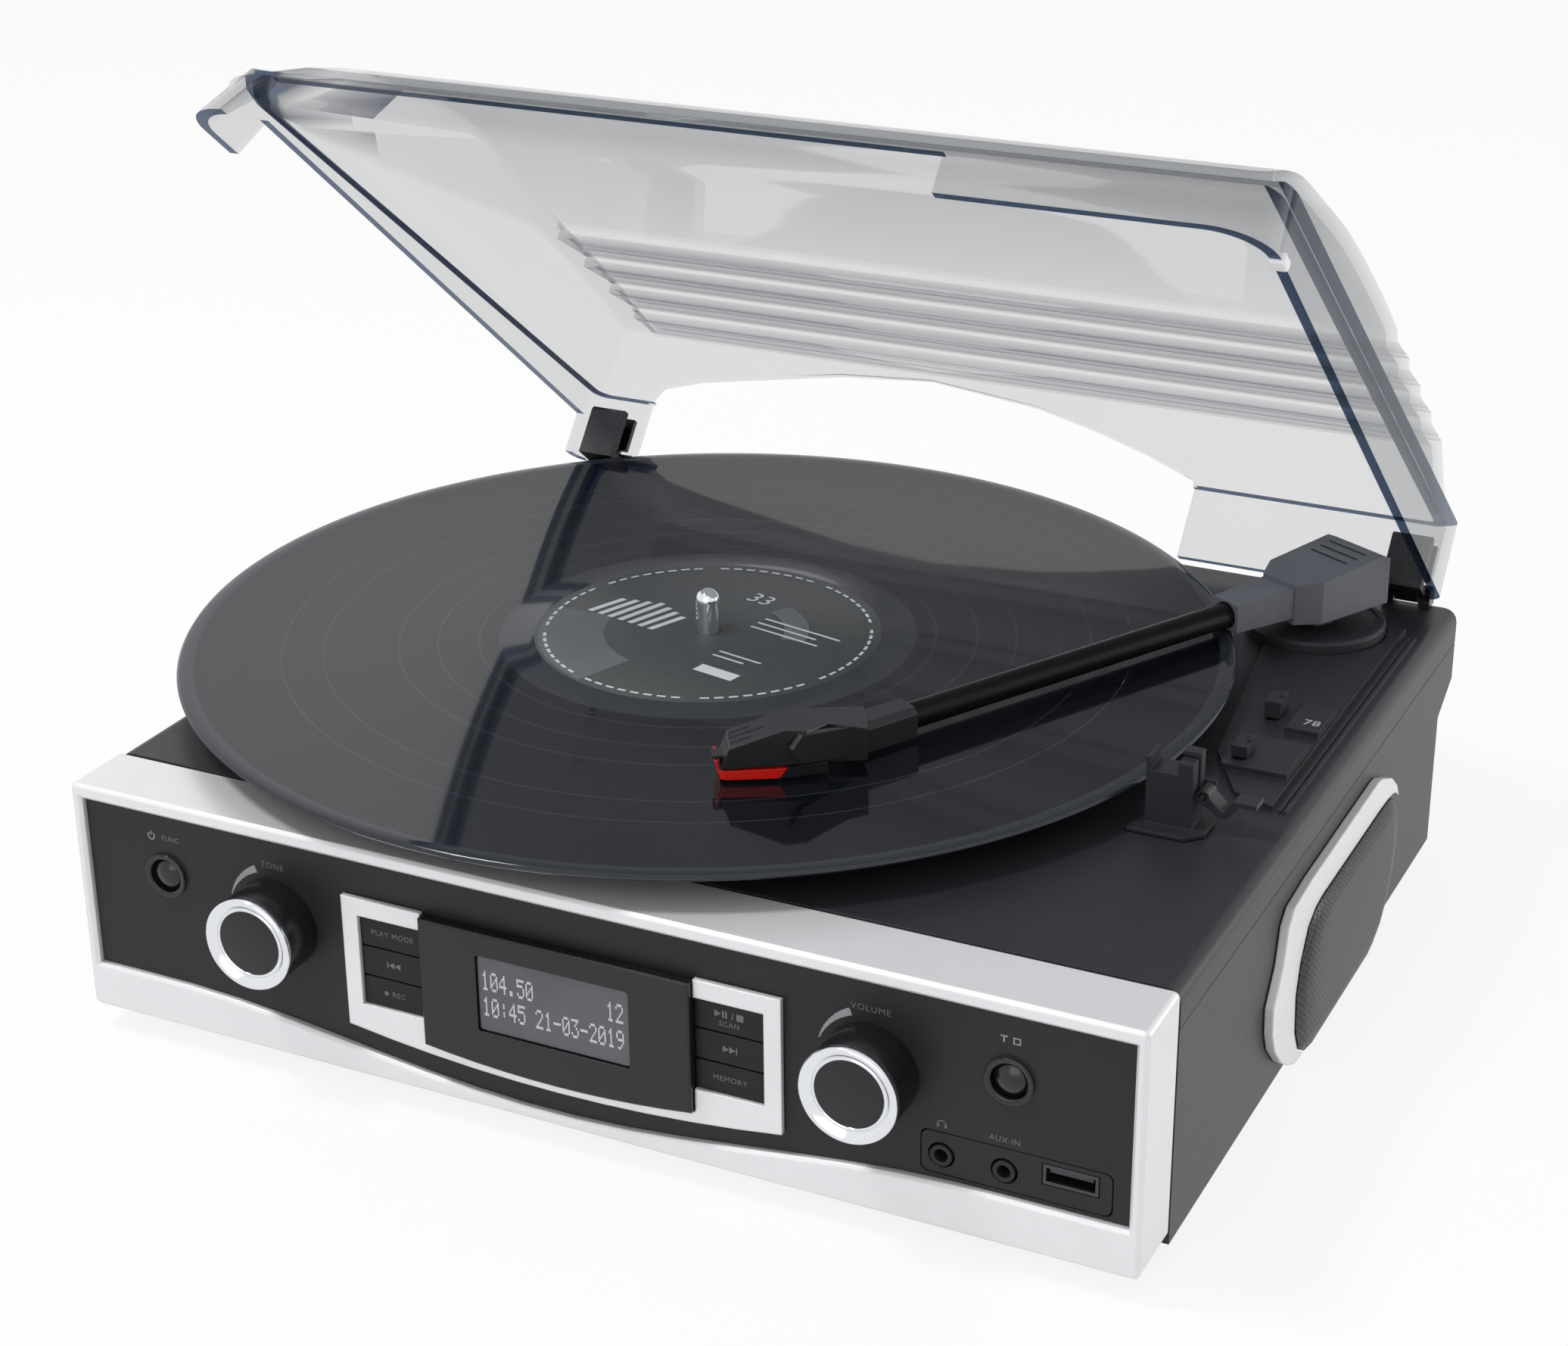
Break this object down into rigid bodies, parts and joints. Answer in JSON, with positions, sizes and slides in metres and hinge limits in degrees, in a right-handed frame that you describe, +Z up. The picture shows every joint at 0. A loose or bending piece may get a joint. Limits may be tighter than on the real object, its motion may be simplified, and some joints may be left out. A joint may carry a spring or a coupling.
{
  "type": "record player with radio",
  "caption": "Compact record player with a radio in a silver bow-edged front, side speakers, straight arm and a tinted louvred cover on rear hinges.",
  "frame": {"origin": "on the surface it stands on, under the middle of the whole object's box", "axes": "+X to the right, along the front; +Y to the back, towards the cover's hinges; +Z up"},
  "size_m": [0.3414, 0.3052, 0.2534],
  "materials": {
    "body": "satin",
    "silver": "satin",
    "panel": "satin",
    "gloss": "gloss",
    "chrome": "polished",
    "screen": "gloss",
    "grille": "satin",
    "rubber": "matt",
    "vinyl": "gloss",
    "steel": "satin",
    "board": "satin",
    "cover": "gloss",
    "red": "gloss",
    "paper": "matt"
  },
  "bodies": {
    "case": {"base_tray": "body", "foot_front_left": "rubber", "foot_front_right": "rubber", "foot_rear_left": "rubber", "foot_rear_right": "rubber", "front_frame": "silver", "front_panel": "panel", "display_bracket": "silver", "display_bezel": "gloss", "display_screen": "screen", "control_board": "board", "jack_plate": "panel", "headphone_socket": "panel", "aux_socket": "panel", "usb_socket": "steel", "speaker_trim_left": "silver", "speaker_grille_left": "grille", "speaker_driver_left": "paper", "speaker_trim_right": "silver", "speaker_grille_right": "grille", "speaker_driver_right": "paper", "top_deck": "body", "platter_bearing": "steel", "drive_motor": "steel", "drive_belt": "rubber", "main_board": "board", "rear_socket_plate": "panel", "arm_base": "body", "arm_rest": "body", "hinge_base_left": "body", "hinge_base_right": "body"},
    "cover": {"dust_cover": "cover", "hinge_clip_left": "body", "hinge_clip_right": "body"},
    "turntable": {"platter": "body", "slip_mat": "rubber", "record": "vinyl", "spindle": "chrome"},
    "pulley": {"motor_pulley": "steel"},
    "arm_swivel": {"arm_yoke": "body"},
    "arm": {"arm_head": "body", "arm_tube": "gloss", "headshell": "body", "cartridge": "panel", "stylus": "red"},
    "clip": {"arm_clip": "body"},
    "speed": {"speed_selector": "panel"},
    "autostop": {"autostop_switch": "panel"},
    "power": {"power_button": "gloss"},
    "mode": {"mode_button": "gloss"},
    "tone": {"tone_knob": "gloss", "tone_knob_ring": "chrome"},
    "volume": {"volume_knob": "gloss", "volume_knob_ring": "chrome"},
    "button_left_top": {"key_left_top": "panel"},
    "button_left_middle": {"key_left_middle": "panel"},
    "button_left_bottom": {"key_left_bottom": "panel"},
    "button_right_top": {"key_right_top": "panel"},
    "button_right_middle": {"key_right_middle": "panel"},
    "button_right_bottom": {"key_right_bottom": "panel"}
  },
  "joints": [
    {"name": "cover_hinge", "type": "hinge", "parent": "case", "child": "cover", "pos_m": [0.0138, 0.12968, 0.0782], "axis": [-1, 0, 0], "range_deg": [-39.6, 0]},
    {"name": "platter_spin", "type": "hinge", "parent": "case", "child": "turntable", "pos_m": [-0.0199, 0.0018, 0.0745], "axis": [0, 0, 1], "continuous": true},
    {"name": "pulley_spin", "type": "hinge", "parent": "case", "child": "pulley", "pos_m": [-0.09029, -0.04218, 0.0745], "axis": [0, 0, 1], "continuous": true},
    {"name": "arm_swing", "type": "hinge", "parent": "case", "child": "arm_swivel", "pos_m": [0.1325, 0.0974, 0.0891], "axis": [0, 0, 1], "range_deg": [-10, 24]},
    {"name": "arm_lift", "type": "hinge", "parent": "arm_swivel", "child": "arm", "pos_m": [0.1325, 0.0974, 0.0891], "axis": [-0.8821, 0.471, 0], "range_deg": [0, 12]},
    {"name": "clip_turn", "type": "hinge", "parent": "case", "child": "clip", "pos_m": [0.1436, -0.0379, 0.0845], "axis": [0, 1, 0], "range_deg": [0, 25]},
    {"name": "speed_slide", "type": "slide", "parent": "case", "child": "speed", "axis": [0, 1, 0], "range_m": [-0.003, 0.003]},
    {"name": "autostop_slide", "type": "slide", "parent": "case", "child": "autostop", "axis": [0, 1, 0], "range_m": [-0.003, 0.003]},
    {"name": "power_press", "type": "slide", "parent": "case", "child": "power", "axis": [0, 1, 0], "range_m": [0, 0.0012], "stiffness_N_per_m": 400, "springref_m": -0.001},
    {"name": "mode_press", "type": "slide", "parent": "case", "child": "mode", "axis": [0, 1, 0], "range_m": [0, 0.0012], "stiffness_N_per_m": 400, "springref_m": -0.001},
    {"name": "tone_turn", "type": "hinge", "parent": "case", "child": "tone", "pos_m": [-0.0756, -0.1436, 0.0458], "axis": [0, -1, 0], "range_deg": [-150, 150]},
    {"name": "volume_turn", "type": "hinge", "parent": "case", "child": "volume", "pos_m": [0.0957, -0.1436, 0.0458], "axis": [0, -1, 0], "range_deg": [-150, 150]},
    {"name": "button_left_top_press", "type": "slide", "parent": "case", "child": "button_left_top", "axis": [0, 1, 0], "range_m": [0, 0.001], "stiffness_N_per_m": 400, "springref_m": -0.001},
    {"name": "button_left_middle_press", "type": "slide", "parent": "case", "child": "button_left_middle", "axis": [0, 1, 0], "range_m": [0, 0.001], "stiffness_N_per_m": 400, "springref_m": -0.001},
    {"name": "button_left_bottom_press", "type": "slide", "parent": "case", "child": "button_left_bottom", "axis": [0, 1, 0], "range_m": [0, 0.001], "stiffness_N_per_m": 400, "springref_m": -0.001},
    {"name": "button_right_top_press", "type": "slide", "parent": "case", "child": "button_right_top", "axis": [0, 1, 0], "range_m": [0, 0.001], "stiffness_N_per_m": 400, "springref_m": -0.001},
    {"name": "button_right_middle_press", "type": "slide", "parent": "case", "child": "button_right_middle", "axis": [0, 1, 0], "range_m": [0, 0.001], "stiffness_N_per_m": 400, "springref_m": -0.001},
    {"name": "button_right_bottom_press", "type": "slide", "parent": "case", "child": "button_right_bottom", "axis": [0, 1, 0], "range_m": [0, 0.001], "stiffness_N_per_m": 400, "springref_m": -0.001}
  ],
  "couplings": [
    {"joint": "pulley_spin", "follows": "platter_spin", "ratio": 16.5}
  ]
}
